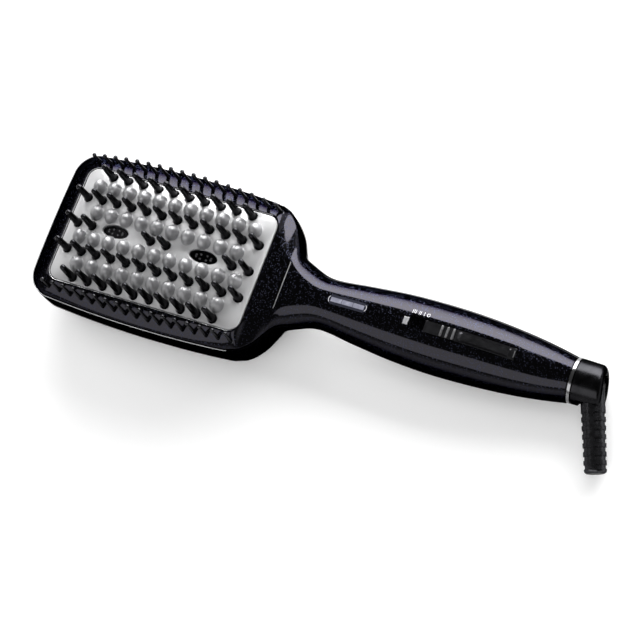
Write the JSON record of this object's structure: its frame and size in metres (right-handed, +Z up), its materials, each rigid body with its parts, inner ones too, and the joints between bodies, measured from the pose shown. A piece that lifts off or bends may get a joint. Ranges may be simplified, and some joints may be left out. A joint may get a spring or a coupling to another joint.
{
  "type": "heated styling brush",
  "caption": "Heated paddle styling brush with a pinned metal plate, ball-tipped edge bristles, a sliding switch and a swivelling cord outlet.",
  "frame": {"origin": "on the flat of the head's back, which the brush lies on, under the middle of the heated plate", "axes": "+X along the brush from the head to the cord outlet, +Y across the head, +Z up through the pins"},
  "size_m": [0.2972, 0.082, 0.0534],
  "materials": {
    "navy_gloss": "high gloss, near-black navy with a fine metallic fleck",
    "plate": "satin silver-grey ceramic coating",
    "pins": "satin heat-resistant nylon",
    "bristles": "satin heat-resistant nylon with ball tips",
    "ion_black": "satin",
    "tray": "dull glass-filled plastic",
    "steel": "plain",
    "heater": "plain",
    "ceramic": "dull ceramic",
    "inner_black": "dull",
    "board": "green lacquer",
    "light_guide": "smoked translucent, gloss",
    "chrome": "bright",
    "switch_black": "satin",
    "outlet_black": "matte",
    "contact_brass": "plain",
    "sleeve_rubber": "matte"
  },
  "bodies": {
    "body": {"head_frame": "navy_gloss", "back_housing": "navy_gloss", "handle_shell": "navy_gloss", "heated_plate": "plate", "pin_row_1": "pins", "pin_row_2": "pins", "pin_row_3": "pins", "pin_row_4": "pins", "pin_row_5": "pins", "edge_bristles_left": "bristles", "edge_bristles_right": "bristles", "ion_outlet_far": "ion_black", "ion_outlet_near": "ion_black", "insulating_tray": "tray", "tray_screw_1": "steel", "tray_screw_2": "steel", "tray_screw_3": "steel", "tray_screw_4": "steel", "heater_left": "heater", "heater_right": "heater", "thermal_fuse": "ceramic", "temperature_sensor": "inner_black", "circuit_board": "board", "switch_body": "inner_black", "ion_generator": "inner_black", "light_guide": "light_guide", "switch_marker": "chrome", "contact_block": "inner_black", "trim_ring": "chrome"},
    "switch": {"slider": "switch_black"},
    "outlet": {"swivel_cap": "outlet_black", "slip_ring_far": "contact_brass", "slip_ring_near": "contact_brass", "pivot_pin": "steel"},
    "sleeve": {"cord_sleeve": "sleeve_rubber"}
  },
  "joints": [
    {"name": "switch_slide", "type": "slide", "parent": "body", "child": "switch", "axis": [-0.995, 0, 0.1001], "range_m": [0, 0.0075]},
    {"name": "cord_swivel", "type": "hinge", "parent": "body", "child": "outlet", "pos_m": [0.2157, 0, 0.0122], "axis": [1, 0, 0], "continuous": true},
    {"name": "sleeve_tilt", "type": "hinge", "parent": "outlet", "child": "sleeve", "pos_m": [0.2157, 0, 0.0122], "axis": [0, -0.1426, 0.9898], "range_deg": [-9.5, 70.5]}
  ]
}
